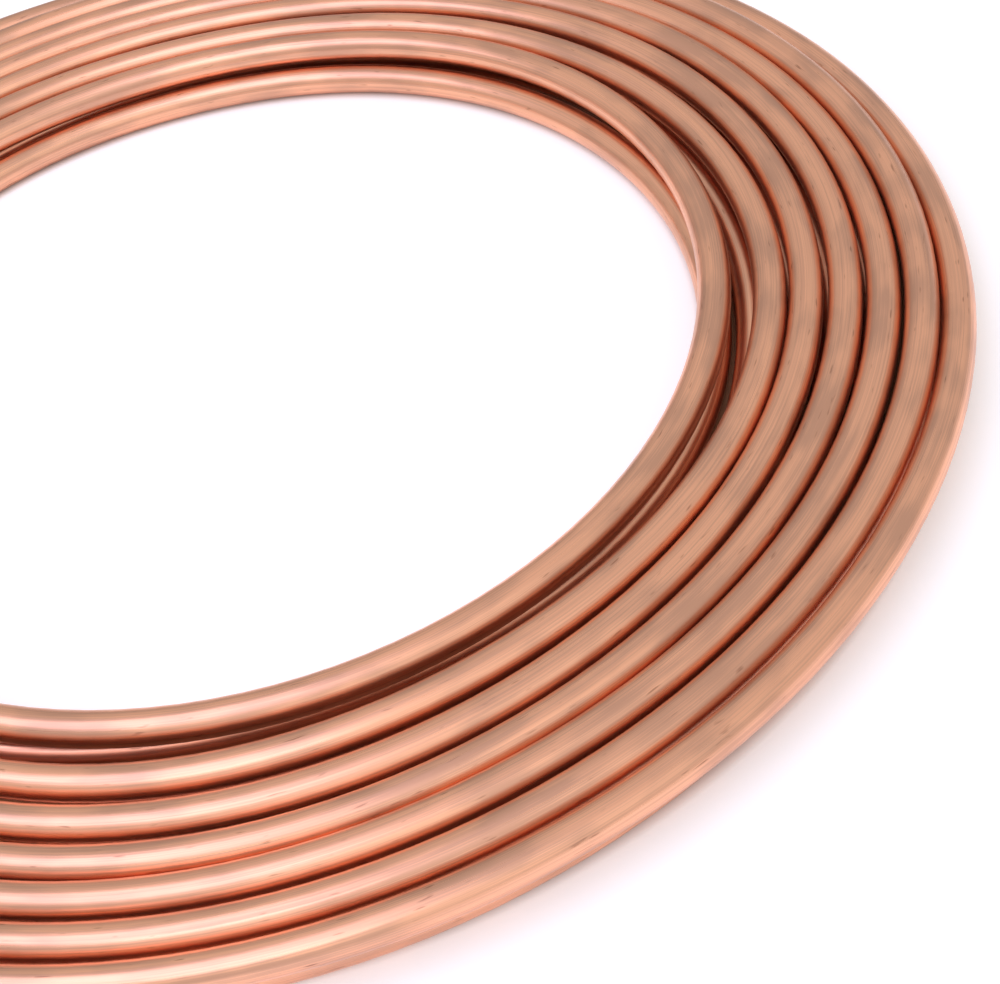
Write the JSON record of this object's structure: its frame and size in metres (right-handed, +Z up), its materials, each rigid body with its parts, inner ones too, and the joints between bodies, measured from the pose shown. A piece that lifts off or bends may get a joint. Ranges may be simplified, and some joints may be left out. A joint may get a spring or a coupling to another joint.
{
  "type": "copper tube coil",
  "caption": "Soft copper tube wound flat, layer on layer, round an open eye, with a square-cut open end of the tube on the rim of each layer.",
  "frame": {"origin": "where the coil's axis meets the surface that the coil lies on", "axes": "+Z up, along the coil's axis; -Y towards the viewer and +X to the viewer's right, as the coil lies in the picture"},
  "size_m": [0.4448, 0.4575, 0.0192],
  "materials": {
    "copper": "soft drawn copper, bright annealed, satin with faint draw lines"
  },
  "bodies": {
    "root": {"copper_tube": "copper"}
  },
  "joints": []
}
